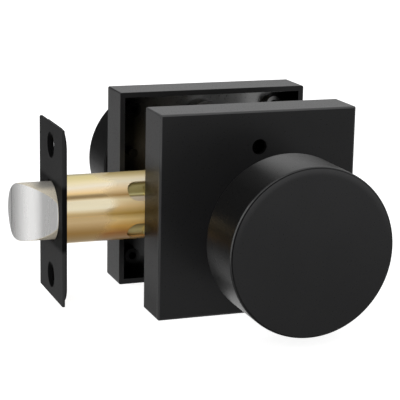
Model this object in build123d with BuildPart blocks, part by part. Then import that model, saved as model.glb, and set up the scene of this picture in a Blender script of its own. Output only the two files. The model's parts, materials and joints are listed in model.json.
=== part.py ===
from build123d import *
import os
from math import cos, radians, sin, sqrt, tan

os.makedirs("parts", exist_ok=True)

# Privacy door knob set, in millimetres. The origin is on the spindle axis, where the exterior rosette meets
# the door. X runs along the latch with the bolt towards -X, Y runs along the spindle with the interior side
# towards +Y, and Z is up.

# Door
door_gap = 27.5  # between the two seating rims
backset = 60.3  # from the spindle axis to the front of the faceplate

# Rosettes
rosette_side = 66.0
rosette_depth = 14.5
rosette_rise = 1.8  # rosette's middle above the spindle axis
rosette_wall = 1.8
rosette_face = 2.2
rosette_edge = 0.6
boss_inset = 7.4  # corner boss centre from the rosette's outer edges
boss_radius = 2.6
boss_pilot = 1.3
boss_height = 4.0
stud_rise = 12.4  # height of the two locating studs above the spindle axis
stud_radius = 1.6

# Knobs
knob_diameter = 52.0
knob_depth = 20.5
knob_edge = 0.8
exterior_neck_length = 23.0  # from the rosette's face to the back of the puck
interior_neck_length = 27.0
neck_diameter = 24.0
neck_cove = 3.0
neck_washer_thickness = 0.5

# Knob bearings, from the rosette's face towards the door
journal_diameter = 19.0
journal_flat_depth = 1.3
journal_lip = 0.5
bush_wall = 1.5
bush_flange_thickness = 1.4
bush_flange_width = 3.5
return_wire = 1.6
return_leg_reach = 19.2
cam_rise = 3.0  # from the door to the cam's near face
cam_thickness = 1.8
cam_lug_width = 3.0
cam_lug_thickness = 1.6
abutment_radius = 1.5
clip_thickness = 0.8
clip_width = 2.6
clip_opening = 50.0  # degrees
groove_depth = 0.8

# Spindle and what fixes it in the knobs
spindle_side = 7.6
spindle_grip = 26.0  # length of spindle inside each knob
spindle_chamfer = 0.6
cross_pin_radius = 1.5
set_screw_radius = 2.5
set_screw_length = 6.5
set_screw_key = 2.5  # across the flats of the key socket
fixing_rise = 7.5  # cross pin and set screw above the rosette's face

# Through screws and their posts
screw_offset = 22.0  # from the spindle axis
screw_radius = 2.0
screw_head_radius = 3.9
screw_head_angle = 90.0  # degrees
screw_thread_length = 13.0  # length of screw inside its post
screw_boss_radius = 4.6
screw_boss_height = 3.8
post_radius = 3.2
post_flange_radius = 4.6
post_flange_thickness = 1.6
post_shortfall = 11.0  # from the post's end to the interior seating rim

# Privacy button and release hole
lock_rise = 23.2  # button and release hole above the spindle axis
release_radius = 2.5
release_guide_wall = 1.6
release_guide_length = 8.8
button_radius = 3.9
button_stand = 4.5  # button above the interior rosette's face
button_edge = 1.0
button_flange_width = 1.1
button_flange_thickness = 1.7
button_travel = 3.0
button_housing_wall = 1.6
button_housing_depth = 6.2
lock_pin_radius = 1.6
lock_pin_lift = 0.6  # pin tip above the fork when unlocked
lock_pin_seat = 3.5  # length of pin inside the button
detent_thickness = 0.5
detent_slit = 0.8
detent_slits = 6
detent_notch = 0.25
fork_wall = 1.2
fork_root = 3.0  # from the lock pin's axis to the bottom of the fork's slot

# Latch plates
faceplate_width = 28.6
faceplate_height = 57.15
faceplate_thickness = 0.85
faceplate_corner = 0.6
faceplate_edge = 0.2
backing_inset = 0.4
backing_corner = 6.0
backing_thickness = 0.8
plate_hole_pitch = 42.9
plate_hole_radius = 2.3
plate_sink_radius = 4.3
plate_sink_angle = 120.0  # degrees

# Latch tube
tube_diameter = 22.2
tube_wall = 0.8
tube_tail = 12.5  # tube behind the spindle axis
window_length = 7.2
window_end = 37.2  # window's front end from the spindle axis
window_angle = 38.0  # window's middle above and below the level
window_width = 7.0
tube_seam = 0.25  # gap where the rolled sheet meets
guide_wall = 0.7
guide_length = 12.0

# Latch bolt, tail and spring
bolt_throw = 12.2
bolt_length = 26.0
bevel_root_chord = 8.6
bevel_tip_offset = 3.0  # bevel's far edge past the bolt's axis at the tip
bevel_angle = 32.0  # of the flat stretch beside the root, from the bolt's axis
bevel_flat = 5.0
bolt_nose = 1.8
tail_sheet = 1.4
tail_bridge = 2.2
rivet_radius = 1.2
rivet_head_radius = 2.0
rivet_head_height = 0.8
rivet_length = 4.0  # length of rivet inside the bolt
bolt_spring_diameter = 6.8
bolt_spring_wire = 0.8
bolt_spring_turns = 7
bolt_spring_pocket = 10.0
seat_thickness = 1.5
seat_spigot_length = 3.0
seat_lug_width = 3.2

# Latch hub
knob_turn = 74.0  # degrees from rest to the bolt drawn back
hub_wall = 0.85
hub_step = 0.6
hub_thickness = 4.8
horn_tip_radius = 0.9

# Clearances
press_gap = 0.05
turn_gap = 0.08
slide_gap = 0.1
free_gap = 0.3
stack_gap = 0.15
bolt_opening_gap = 0.45
horn_gap = 0.4

# Heights above the door on either side
cavity_depth = rosette_depth - rosette_face
cavity_side = rosette_side - 2 * rosette_wall
boss_pitch = rosette_side - 2 * boss_inset
flange_low = cavity_depth - bush_flange_thickness
cam_top = cam_rise + cam_thickness
clip_low = cam_rise - stack_gap - clip_thickness
journal_end = clip_low - stack_gap - journal_lip
neck_base = rosette_depth + neck_washer_thickness + stack_gap
fixing_height = rosette_depth + fixing_rise
spindle_end = journal_end + spindle_grip

# Radii about the spindle axis
knob_radius = knob_diameter / 2
neck_radius = neck_diameter / 2
journal_radius = journal_diameter / 2
journal_flat = journal_radius - journal_flat_depth
bush_bore = journal_radius + turn_gap
bush_radius = bush_bore + bush_wall
bush_flange_radius = bush_radius + bush_flange_width
return_radius = bush_radius + stack_gap + return_wire / 2
cam_lug_inner = return_radius + return_wire / 2 + free_gap
cam_radius = cam_lug_inner + cam_lug_thickness
abutment_offset = cam_radius + free_gap + abutment_radius
socket_side = spindle_side + 2 * slide_gap

# Latch distances from the spindle axis towards the door's edge, and radii about the latch axis
faceplate_back = backset - faceplate_thickness
backing_back = faceplate_back - backing_thickness
backing_width = faceplate_width - 2 * backing_inset
backing_height = faceplate_height - 2 * backing_inset
window_start = window_end - window_length
window_middles = (window_angle, 180 - window_angle, 180 + window_angle, -window_angle)
tube_radius = tube_diameter / 2
tube_bore = tube_radius - tube_wall
bolt_radius = tube_bore - press_gap - guide_wall - slide_gap
bolt_back = backset + bolt_throw - bolt_length
hub_journal = socket_side / sqrt(2) + hub_wall
hub_radius = hub_journal + hub_step
horn_reach = tube_radius - slide_gap - horn_tip_radius
horn_lean = knob_turn / 2
tail_inner = hub_thickness / 2 + free_gap
tail_outer = tail_inner + tail_sheet
tail_low = hub_journal + free_gap
tail_top = sqrt((tube_bore - free_gap) ** 2 - tail_outer**2)
bridge_low = horn_reach * cos(radians(horn_lean)) - stack_gap
tail_stop = bridge_low * tan(radians(horn_lean)) - horn_tip_radius / cos(radians(horn_lean)) - horn_gap
spring_pocket_radius = bolt_spring_diameter / 2 + free_gap
seat_back = window_start + slide_gap
seat_front = seat_back + seat_thickness
rivet_rise = spring_pocket_radius + rivet_head_radius + free_gap

# Planes: each side of the door looks outwards, the latch looks towards the door's edge
exterior = Plane(origin=(0, 0, 0), x_dir=(1, 0, 0), z_dir=(0, -1, 0))
interior = Plane(origin=(0, door_gap, 0), x_dir=(-1, 0, 0), z_dir=(0, 1, 0))
latch = Plane(origin=(0, door_gap / 2, 0), x_dir=(0, -1, 0), z_dir=(-1, 0, 0))
latch_side = Plane(origin=(0, door_gap / 2, 0), x_dir=(1, 0, 0), z_dir=(0, -1, 0))
latch_level = Plane(origin=(0, door_gap / 2, 0), x_dir=(1, 0, 0), z_dir=(0, 0, 1))


def section_plane(side, rise=0.0):
    """Plane for turned profiles: radius across, height above the door upwards."""
    return Plane(origin=side.origin + side.y_dir * rise, x_dir=side.x_dir, z_dir=-side.y_dir)


def turning_axis(side, rise=0.0):
    """Axis of a turned piece, at a height above the spindle axis."""
    return Axis(side.origin + side.y_dir * rise, side.z_dir)


def rosette_cup(side):
    """Square cup open towards the door, with its bearing bore, bosses, studs and spring abutment."""
    with BuildPart() as cup:
        with BuildSketch(side):
            with Locations((0, rosette_rise)):
                Rectangle(rosette_side, rosette_side)
        extrude(amount=rosette_depth)
        edge_rings = cup.edges().group_by(turning_axis(side))
        fillet(edge_rings[1] + edge_rings[2], rosette_edge)
        with BuildSketch(side):
            with Locations((0, rosette_rise)):
                Rectangle(cavity_side, cavity_side)
        extrude(amount=cavity_depth, mode=Mode.SUBTRACT)
        with BuildSketch(side.offset(cavity_depth)):
            Circle(bush_radius + press_gap)
        extrude(amount=rosette_face, mode=Mode.SUBTRACT)
        with BuildSketch(side.offset(cavity_depth - boss_height)):
            with Locations((0, rosette_rise)):
                with GridLocations(boss_pitch, boss_pitch, 2, 2):
                    Circle(boss_radius)
                    Circle(boss_pilot, mode=Mode.SUBTRACT)
            with Locations((-boss_pitch / 2, stud_rise), (boss_pitch / 2, stud_rise)):
                Circle(stud_radius)
        extrude(amount=boss_height)
        with BuildSketch(side.offset(cam_top + free_gap)):
            with Locations((0, -abutment_offset)):
                Circle(abutment_radius)
        extrude(amount=cavity_depth - cam_top - free_gap)
    return cup.part


def turned_knob(side, neck_length):
    """Puck, neck and journal turned in one, with the spindle socket, the cam flats and the clip groove."""
    puck_back = rosette_depth + neck_length
    puck_front = puck_back + knob_depth
    with BuildPart() as knob:
        with BuildSketch(section_plane(side)):
            with BuildLine():
                Polyline(
                    (0, journal_end),
                    (journal_radius, journal_end),
                    (journal_radius, neck_base),
                    (neck_radius, neck_base),
                    (neck_radius, puck_back),
                    (knob_radius, puck_back),
                    (knob_radius, puck_front),
                    (0, puck_front),
                    close=True,
                )
            make_face()
        revolve(axis=turning_axis(side))
        rings = knob.edges().filter_by(GeomType.CIRCLE).sort_by(SortBy.RADIUS)
        puck_rims = rings[-2:]
        neck_rings = rings.filter_by(lambda ring: abs(ring.radius - neck_radius) < press_gap)
        fillet(neck_rings.sort_by(turning_axis(side))[-1], neck_cove)
        fillet(puck_rims, knob_edge)
        with BuildSketch(side.offset(journal_end)):
            Rectangle(socket_side, socket_side)
        extrude(amount=spindle_grip + free_gap, mode=Mode.SUBTRACT)
        with BuildSketch(side.offset(journal_end)):
            Rectangle(2 * neck_radius, 2 * neck_radius)
            Rectangle(2 * journal_flat, 2 * neck_radius, mode=Mode.SUBTRACT)
        extrude(amount=cam_top - journal_end, mode=Mode.SUBTRACT)
        with BuildSketch(side.offset(clip_low - press_gap)):
            Circle(neck_radius)
            Circle(journal_radius - groove_depth, mode=Mode.SUBTRACT)
        extrude(amount=clip_thickness + 2 * press_gap, mode=Mode.SUBTRACT)
    return knob.part


def neck_washer(side):
    """Thin ring that the neck's base turns on."""
    with BuildPart() as washer:
        with BuildSketch(side.offset(rosette_depth)):
            Circle(neck_radius - free_gap)
            Circle(journal_radius + free_gap, mode=Mode.SUBTRACT)
        extrude(amount=neck_washer_thickness)
    return washer.part


def bearing_bush(side):
    """Flanged bush in the rosette's bore, long enough for the return spring to sit round it."""
    with BuildPart() as bush:
        with BuildSketch(section_plane(side)):
            with BuildLine():
                Polyline(
                    (bush_bore, cam_top + stack_gap),
                    (bush_radius, cam_top + stack_gap),
                    (bush_radius, flange_low),
                    (bush_flange_radius, flange_low),
                    (bush_flange_radius, cavity_depth),
                    (bush_radius, cavity_depth),
                    (bush_radius, rosette_depth),
                    (bush_bore, rosette_depth),
                    close=True,
                )
            make_face()
        revolve(axis=turning_axis(side))
    return bush.part


def return_spring(side):
    """Horseshoe of wire round the bush, its legs on both sides of the cam's lug and the abutment."""
    leg = max(cam_lug_width / 2, abutment_radius) + stack_gap + return_wire / 2
    shoulder = sqrt(return_radius**2 - leg**2)
    with BuildPart() as spring:
        with BuildLine(side.offset((cam_top + flange_low) / 2)) as wire:
            Line((-leg, -return_leg_reach), (-leg, -shoulder))
            ThreePointArc((-leg, -shoulder), (0, return_radius), (leg, -shoulder))
            Line((leg, -shoulder), (leg, -return_leg_reach))
            fillet(wire.vertices().sort_by(Axis.Z)[2:], return_wire)
        with BuildSketch(Plane(origin=wire.line @ 0, z_dir=wire.line % 0)):
            Circle(return_wire / 2)
        sweep()
    return spring.part


def return_cam(side):
    """Plate driven by the journal's flats, with a lug between the return spring's legs."""
    with BuildPart() as cam:
        with BuildSketch(side.offset(cam_rise)):
            Circle(cam_radius)
        extrude(amount=cam_thickness)
        with BuildSketch(side.offset(cam_rise)):
            Circle(journal_radius + slide_gap)
            Rectangle(2 * (journal_flat + slide_gap), 2 * neck_radius, mode=Mode.INTERSECT)
        extrude(amount=cam_thickness, mode=Mode.SUBTRACT)
        with BuildSketch(side.offset(cam_top)):
            Circle(cam_radius)
            Circle(cam_lug_inner, mode=Mode.SUBTRACT)
            with Locations((0, -cam_radius)):
                Rectangle(cam_lug_width, 2 * cam_lug_thickness, mode=Mode.INTERSECT)
        extrude(amount=(flange_low - cam_top + return_wire) / 2)
    return cam.part


def retaining_ring(side):
    """Open ring in the journal's groove, which keeps the cam on the journal."""
    outer = journal_radius - groove_depth + press_gap + clip_width
    with BuildPart() as ring:
        with BuildSketch(side.offset(clip_low)):
            Circle(outer)
            Circle(journal_radius - groove_depth + press_gap, mode=Mode.SUBTRACT)
            with BuildLine():
                Polyline(
                    (0, 0),
                    (-2 * outer * sin(radians(clip_opening / 2)), -2 * outer * cos(radians(clip_opening / 2))),
                    (2 * outer * sin(radians(clip_opening / 2)), -2 * outer * cos(radians(clip_opening / 2))),
                    close=True,
                )
            make_face(mode=Mode.SUBTRACT)
        extrude(amount=clip_thickness)
    return ring.part


# Exterior rosette, with the release hole and the guide behind it
with BuildPart() as exterior_rosette:
    add(rosette_cup(exterior))
    with BuildSketch(exterior.offset(cavity_depth - release_guide_length)):
        with Locations((0, lock_rise)):
            Circle(release_radius + release_guide_wall)
    extrude(amount=release_guide_length)
    with BuildSketch(exterior.offset(cavity_depth - release_guide_length)):
        with Locations((0, lock_rise)):
            Circle(release_radius)
    extrude(amount=release_guide_length + rosette_face, mode=Mode.SUBTRACT)
exterior_rosette.part.label = "exterior_rosette"
export_step(exterior_rosette.part, "parts/exterior_rosette.step")

# Interior rosette, with the button's housing and the countersunk screw holes
with BuildPart() as interior_rosette:
    add(rosette_cup(interior))
    with BuildSketch(interior.offset(cavity_depth - button_housing_depth)):
        with Locations((0, lock_rise)):
            Circle(button_radius + button_flange_width + button_housing_wall)
            Circle(button_radius + button_flange_width + free_gap, mode=Mode.SUBTRACT)
    extrude(amount=button_housing_depth)
    with BuildSketch(interior.offset(cavity_depth)):
        with Locations((0, lock_rise)):
            Circle(button_radius + slide_gap)
    extrude(amount=rosette_face, mode=Mode.SUBTRACT)
    with BuildSketch(interior.offset(cavity_depth - screw_boss_height)):
        with GridLocations(2 * screw_offset, 0, 2, 1):
            Circle(screw_boss_radius)
    extrude(amount=screw_boss_height)
    with Locations(interior.offset(rosette_depth)):
        with GridLocations(2 * screw_offset, 0, 2, 1):
            CounterSinkHole(
                radius=screw_radius + free_gap,
                counter_sink_radius=screw_head_radius + slide_gap,
                depth=rosette_face + screw_boss_height,
                counter_sink_angle=screw_head_angle,
            )
interior_rosette.part.label = "interior_rosette"
export_step(interior_rosette.part, "parts/interior_rosette.step")

# Exterior knob, drilled across its neck for the spindle's pin
with BuildPart() as exterior_knob:
    add(turned_knob(exterior, exterior_neck_length))
    with BuildSketch(Plane.YZ):
        with Locations((-fixing_height, 0)):
            Circle(cross_pin_radius + press_gap)
    extrude(amount=neck_diameter, both=True, mode=Mode.SUBTRACT)
exterior_knob.part.label = "exterior_knob"
export_step(exterior_knob.part, "parts/exterior_knob.step")

# Interior knob, drilled from below for its set screw
with BuildPart() as interior_knob:
    add(turned_knob(interior, interior_neck_length))
    with BuildSketch(Plane.XY):
        with Locations((0, door_gap + fixing_height)):
            Circle(set_screw_radius + press_gap)
    extrude(amount=-neck_diameter, mode=Mode.SUBTRACT)
interior_knob.part.label = "interior_knob"
export_step(interior_knob.part, "parts/interior_knob.step")

with BuildPart() as exterior_neck_washer:
    add(neck_washer(exterior))
exterior_neck_washer.part.label = "exterior_neck_washer"
export_step(exterior_neck_washer.part, "parts/exterior_neck_washer.step")

with BuildPart() as interior_neck_washer:
    add(neck_washer(interior))
interior_neck_washer.part.label = "interior_neck_washer"
export_step(interior_neck_washer.part, "parts/interior_neck_washer.step")

with BuildPart() as exterior_bush:
    add(bearing_bush(exterior))
exterior_bush.part.label = "exterior_bush"
export_step(exterior_bush.part, "parts/exterior_bush.step")

with BuildPart() as interior_bush:
    add(bearing_bush(interior))
interior_bush.part.label = "interior_bush"
export_step(interior_bush.part, "parts/interior_bush.step")

with BuildPart() as exterior_return_spring:
    add(return_spring(exterior))
exterior_return_spring.part.label = "exterior_return_spring"
export_step(exterior_return_spring.part, "parts/exterior_return_spring.step")

with BuildPart() as interior_return_spring:
    add(return_spring(interior))
interior_return_spring.part.label = "interior_return_spring"
export_step(interior_return_spring.part, "parts/interior_return_spring.step")

with BuildPart() as exterior_cam:
    add(return_cam(exterior))
exterior_cam.part.label = "exterior_cam"
export_step(exterior_cam.part, "parts/exterior_cam.step")

# Interior cam, with the open fork that the lock pin enters
fork_slot = lock_pin_radius + free_gap
with BuildPart() as interior_cam:
    add(return_cam(interior))
    with BuildSketch(interior.offset(cam_rise)):
        with Locations((0, lock_rise / 2)):
            Rectangle(2 * (fork_slot + fork_wall), lock_rise)
        with Locations((0, lock_rise)):
            Circle(fork_slot + fork_wall)
        Circle(cam_radius - fork_wall, mode=Mode.SUBTRACT)
        with Locations((0, lock_rise + fork_slot)):
            Rectangle(2 * fork_slot, 2 * (fork_slot + fork_root), mode=Mode.SUBTRACT)
    extrude(amount=cam_thickness)
interior_cam.part.label = "interior_cam"
export_step(interior_cam.part, "parts/interior_cam.step")

with BuildPart() as exterior_retaining_ring:
    add(retaining_ring(exterior))
exterior_retaining_ring.part.label = "exterior_retaining_ring"
export_step(exterior_retaining_ring.part, "parts/exterior_retaining_ring.step")

with BuildPart() as interior_retaining_ring:
    add(retaining_ring(interior))
interior_retaining_ring.part.label = "interior_retaining_ring"
export_step(interior_retaining_ring.part, "parts/interior_retaining_ring.step")

# Square spindle from knob to knob, drilled for the exterior knob's cross pin
with BuildPart() as spindle:
    with BuildSketch(exterior.offset(-door_gap - spindle_end)):
        Rectangle(spindle_side, spindle_side)
    extrude(amount=door_gap + 2 * spindle_end)
    spindle_faces = spindle.faces().sort_by(Axis.Y)
    chamfer(spindle_faces[0].edges() + spindle_faces[-1].edges(), spindle_chamfer)
    with BuildSketch(Plane.YZ):
        with Locations((-fixing_height, 0)):
            Circle(cross_pin_radius + press_gap)
    extrude(amount=spindle_side, both=True, mode=Mode.SUBTRACT)
spindle.part.label = "spindle"
export_step(spindle.part, "parts/spindle.step")

with BuildPart() as spindle_pin:
    with BuildSketch(Plane.YZ):
        with Locations((-fixing_height, 0)):
            Circle(cross_pin_radius)
    extrude(amount=neck_radius - cross_pin_radius, both=True)
    chamfer(spindle_pin.edges().filter_by(GeomType.CIRCLE), cross_pin_radius / 4)
spindle_pin.part.label = "spindle_pin"
export_step(spindle_pin.part, "parts/spindle_pin.step")

# Set screw under the interior knob's neck, resting on the spindle
with BuildPart() as set_screw:
    with BuildSketch(Plane.XY.offset(-spindle_side / 2 - press_gap)):
        with Locations((0, door_gap + fixing_height)):
            Circle(set_screw_radius)
    extrude(amount=-set_screw_length)
    with BuildSketch(Plane.XY.offset(-spindle_side / 2 - press_gap - set_screw_length)):
        with Locations((0, door_gap + fixing_height)):
            RegularPolygon(set_screw_key / 2, 6, major_radius=False)
    extrude(amount=set_screw_key, mode=Mode.SUBTRACT)
set_screw.part.label = "set_screw"
export_step(set_screw.part, "parts/set_screw.step")

# Two threaded posts fixed in the exterior rosette
post_end = door_gap - post_shortfall
with BuildPart() as screw_posts:
    with BuildSketch(exterior.offset(-post_end)):
        with GridLocations(2 * screw_offset, 0, 2, 1):
            Circle(post_radius)
    extrude(amount=post_end + cavity_depth)
    with BuildSketch(exterior.offset(cavity_depth - post_flange_thickness)):
        with GridLocations(2 * screw_offset, 0, 2, 1):
            Circle(post_flange_radius)
    extrude(amount=post_flange_thickness)
    with BuildSketch(exterior.offset(-post_end)):
        with GridLocations(2 * screw_offset, 0, 2, 1):
            Circle(screw_radius + slide_gap)
    extrude(amount=screw_thread_length + 2 * screw_radius, mode=Mode.SUBTRACT)
screw_posts.part.label = "screw_posts"
export_step(screw_posts.part, "parts/screw_posts.step")

# Two countersunk screws through the interior rosette into the posts
screw_head_depth = (screw_head_radius - screw_radius) / tan(radians(screw_head_angle / 2))
screw_tip = door_gap - post_end + screw_thread_length
with BuildPart() as through_screws:
    with BuildSketch(interior.offset(-screw_tip)):
        with GridLocations(2 * screw_offset, 0, 2, 1):
            Circle(screw_radius)
    extrude(amount=screw_tip + rosette_depth - press_gap)
    with Locations(interior.offset(rosette_depth - press_gap)):
        with GridLocations(2 * screw_offset, 0, 2, 1):
            Cone(
                bottom_radius=screw_radius,
                top_radius=screw_head_radius,
                height=screw_head_depth,
                align=(Align.CENTER, Align.CENTER, Align.MAX),
            )
    with BuildSketch(interior.offset(rosette_depth - press_gap)):
        with GridLocations(2 * screw_offset, 0, 2, 1):
            Rectangle(2 * screw_radius, screw_radius / 2)
            Rectangle(screw_radius / 2, 2 * screw_radius)
    extrude(amount=-screw_head_depth, mode=Mode.SUBTRACT)
through_screws.part.label = "through_screws"
export_step(through_screws.part, "parts/through_screws.step")

# Privacy button in its housing, held in by its flange
button_flange_top = cavity_depth - stack_gap
button_low = button_flange_top - button_flange_thickness
button_top = rosette_depth + button_stand
lock_pin_top = button_low + lock_pin_seat
with BuildPart() as privacy_button:
    with BuildSketch(section_plane(interior, lock_rise)):
        with BuildLine():
            Polyline(
                (0, lock_pin_top),
                (lock_pin_radius + press_gap, lock_pin_top),
                (lock_pin_radius + press_gap, button_low),
                (button_radius + button_flange_width, button_low),
                (button_radius + button_flange_width, button_flange_top),
                (button_radius, button_flange_top),
                (button_radius, button_top),
                (0, button_top),
                close=True,
            )
        make_face()
    revolve(axis=turning_axis(interior, lock_rise))
    fillet(privacy_button.edges().sort_by(Axis.Y)[-1], button_edge)
privacy_button.part.label = "privacy_button"
export_step(privacy_button.part, "parts/privacy_button.step")

# Lock pin under the button, with a notch for the detent ring in each position
housing_end = cavity_depth - button_housing_depth
lock_pin_tip = cam_top + lock_pin_lift
with BuildPart() as privacy_pin:
    with BuildSketch(interior.offset(lock_pin_tip)):
        with Locations((0, lock_rise)):
            Circle(lock_pin_radius)
    extrude(amount=lock_pin_top - press_gap - lock_pin_tip)
    for lift in (0, button_travel):
        with BuildSketch(interior.offset(housing_end + stack_gap + lift)):
            with Locations((0, lock_rise)):
                Circle(2 * lock_pin_radius)
                Circle(lock_pin_radius - detent_notch, mode=Mode.SUBTRACT)
        extrude(amount=detent_thickness, mode=Mode.SUBTRACT)
    chamfer(privacy_pin.edges().sort_by(Axis.Y)[0], detent_notch)
privacy_pin.part.label = "privacy_pin"
export_step(privacy_pin.part, "parts/privacy_pin.step")

# Slit spring ring in the end of the button's housing, which holds the pin in either position
with BuildPart() as detent_ring:
    with BuildSketch(interior.offset(housing_end + stack_gap)):
        with Locations((0, lock_rise)):
            Circle(button_radius + button_flange_width + free_gap - press_gap)
            Circle(lock_pin_radius + slide_gap, mode=Mode.SUBTRACT)
            with PolarLocations(button_radius / 2, detent_slits):
                Rectangle(button_radius, detent_slit, mode=Mode.SUBTRACT)
    extrude(amount=detent_thickness)
detent_ring.part.label = "detent_ring"
export_step(detent_ring.part, "parts/detent_ring.step")

# Square-cornered faceplate
with BuildPart() as latch_faceplate:
    with BuildSketch(latch.offset(faceplate_back)):
        RectangleRounded(faceplate_width, faceplate_height, faceplate_corner)
        Circle(bolt_radius + bolt_opening_gap, mode=Mode.SUBTRACT)
    extrude(amount=faceplate_thickness)
    with Locations(latch.offset(backset)):
        with GridLocations(0, plate_hole_pitch, 1, 2):
            CounterSinkHole(
                radius=plate_hole_radius,
                counter_sink_radius=plate_sink_radius,
                depth=faceplate_thickness,
                counter_sink_angle=plate_sink_angle,
            )
    chamfer(latch_faceplate.faces().sort_by(Axis.X)[0].outer_wire().edges(), faceplate_edge)
latch_faceplate.part.label = "latch_faceplate"
export_step(latch_faceplate.part, "parts/latch_faceplate.step")

# Round-cornered plate behind it, which the tube is fixed in
with BuildPart() as latch_backing_plate:
    with BuildSketch(latch.offset(backing_back)):
        RectangleRounded(backing_width, backing_height, backing_corner)
        Circle(tube_radius + press_gap, mode=Mode.SUBTRACT)
        with GridLocations(0, plate_hole_pitch, 1, 2):
            Circle(plate_hole_radius, mode=Mode.SUBTRACT)
    extrude(amount=backing_thickness)
latch_backing_plate.part.label = "latch_backing_plate"
export_step(latch_backing_plate.part, "parts/latch_backing_plate.step")

# Latch tube rolled from sheet, with windows for the spring seat, post holes, hub bearings and horn slots
with BuildPart() as latch_tube:
    with BuildSketch(latch.offset(-tube_tail)):
        Circle(tube_radius)
        Circle(tube_bore, mode=Mode.SUBTRACT)
        Rectangle(tube_radius, tube_seam, align=(Align.MIN, Align.CENTER), mode=Mode.SUBTRACT)
    extrude(amount=tube_tail + faceplate_back)
    for middle in window_middles:
        outward = latch.x_dir * cos(radians(middle)) + latch.y_dir * sin(radians(middle))
        with BuildSketch(Plane(origin=latch.origin, x_dir=latch.z_dir, z_dir=outward)):
            with Locations((window_start, 0)):
                Rectangle(window_length - window_width / 2, window_width, align=(Align.MIN, Align.CENTER))
            with Locations((window_end - window_width / 2, 0)):
                Circle(window_width / 2)
        extrude(amount=tube_diameter, mode=Mode.SUBTRACT)
    with BuildSketch(latch_side):
        Circle(hub_journal + turn_gap)
        with Locations((-screw_offset, 0)):
            Circle(post_radius + free_gap)
    extrude(amount=tube_diameter, both=True, mode=Mode.SUBTRACT)
    with BuildSketch(latch_level):
        SlotOverall(horn_reach + 4 * horn_tip_radius, hub_thickness + 2 * free_gap)
    extrude(amount=tube_diameter, both=True, mode=Mode.SUBTRACT)
latch_tube.part.label = "latch_tube"
export_step(latch_tube.part, "parts/latch_tube.step")

# Sleeve that the bolt slides in
with BuildPart() as bolt_guide:
    with BuildSketch(latch.offset(faceplate_back - guide_length)):
        Circle(tube_bore - press_gap)
        Circle(bolt_radius + slide_gap, mode=Mode.SUBTRACT)
    extrude(amount=guide_length)
bolt_guide.part.label = "bolt_guide"
export_step(bolt_guide.part, "parts/bolt_guide.step")

# Round bolt with a bevel flat at its root and crowned to the nose, bored behind for its spring and rivets
bevel_root = -sqrt(bolt_radius**2 - (bevel_root_chord / 2) ** 2)
bolt_tip = backset + bolt_throw
with BuildPart() as latch_bolt:
    with BuildSketch(latch.offset(bolt_back)):
        Circle(bolt_radius)
    extrude(amount=bolt_length)
    with BuildSketch(latch_level):
        with BuildLine():
            flat = PolarLine((-backset, bevel_root), bevel_flat, 180 - bevel_angle)
            TangentArc(flat @ 1, (-bolt_tip, bevel_tip_offset), tangent=flat % 1)
            Polyline(
                (-bolt_tip, bevel_tip_offset),
                (-bolt_tip - bolt_throw, bevel_tip_offset),
                (-bolt_tip - bolt_throw, -2 * bolt_radius),
                (-backset, -2 * bolt_radius),
                (-backset, bevel_root),
            )
        make_face()
    extrude(amount=2 * bolt_radius, both=True, mode=Mode.SUBTRACT)
    fillet(latch_bolt.faces().sort_by(Axis.X)[0].edges(), bolt_nose)
    with BuildSketch(latch.offset(bolt_back)):
        Circle(spring_pocket_radius)
    extrude(amount=bolt_spring_pocket, mode=Mode.SUBTRACT)
    with BuildSketch(latch.offset(bolt_back)):
        with GridLocations(0, 2 * rivet_rise, 1, 2):
            Circle(rivet_radius + press_gap)
    extrude(amount=rivet_length + press_gap, mode=Mode.SUBTRACT)
latch_bolt.part.label = "latch_bolt"
export_step(latch_bolt.part, "parts/latch_bolt.step")

# Folded strap behind the bolt: four rails past the hub, joined at the top and bottom where the horns pull
with BuildPart() as bolt_tail:
    with BuildSketch(latch_side):
        with Locations((-tail_stop + tail_bridge, 0)):
            Rectangle(bolt_back - tail_stop + tail_bridge, 2 * tail_top, align=(Align.MAX, Align.CENTER))
            with Locations((0, 0)):
                Rectangle(
                    bolt_back - tail_stop + tail_bridge - tail_sheet,
                    2 * tail_low,
                    align=(Align.MAX, Align.CENTER),
                    mode=Mode.SUBTRACT,
                )
    extrude(amount=tail_outer, both=True)
    with BuildSketch(latch_side):
        with Locations((-tail_stop, 0)):
            Rectangle(
                bolt_back - tail_stop - tail_sheet,
                2 * tube_radius,
                align=(Align.MAX, Align.CENTER),
            )
            Rectangle(tail_bridge, 2 * bridge_low, align=(Align.MIN, Align.CENTER))
    extrude(amount=tail_inner, both=True, mode=Mode.SUBTRACT)
    with BuildSketch(latch.offset(bolt_back - tail_sheet)):
        Circle(spring_pocket_radius)
        with GridLocations(0, 2 * rivet_rise, 1, 2):
            Circle(rivet_radius + press_gap)
    extrude(amount=tail_sheet, mode=Mode.SUBTRACT)
bolt_tail.part.label = "bolt_tail"
export_step(bolt_tail.part, "parts/bolt_tail.step")

# Two rivets that hold the strap to the bolt
with BuildPart() as tail_rivets:
    with BuildSketch(latch.offset(bolt_back - tail_sheet)):
        with GridLocations(0, 2 * rivet_rise, 1, 2):
            Circle(rivet_radius)
    extrude(amount=tail_sheet + rivet_length)
    with BuildSketch(latch.offset(bolt_back - tail_sheet - rivet_head_height)):
        with GridLocations(0, 2 * rivet_rise, 1, 2):
            Circle(rivet_head_radius)
    extrude(amount=rivet_head_height)
    fillet(tail_rivets.edges().group_by(Axis.X)[-1], rivet_head_height / 2)
tail_rivets.part.label = "tail_rivets"
export_step(tail_rivets.part, "parts/tail_rivets.step")

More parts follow.
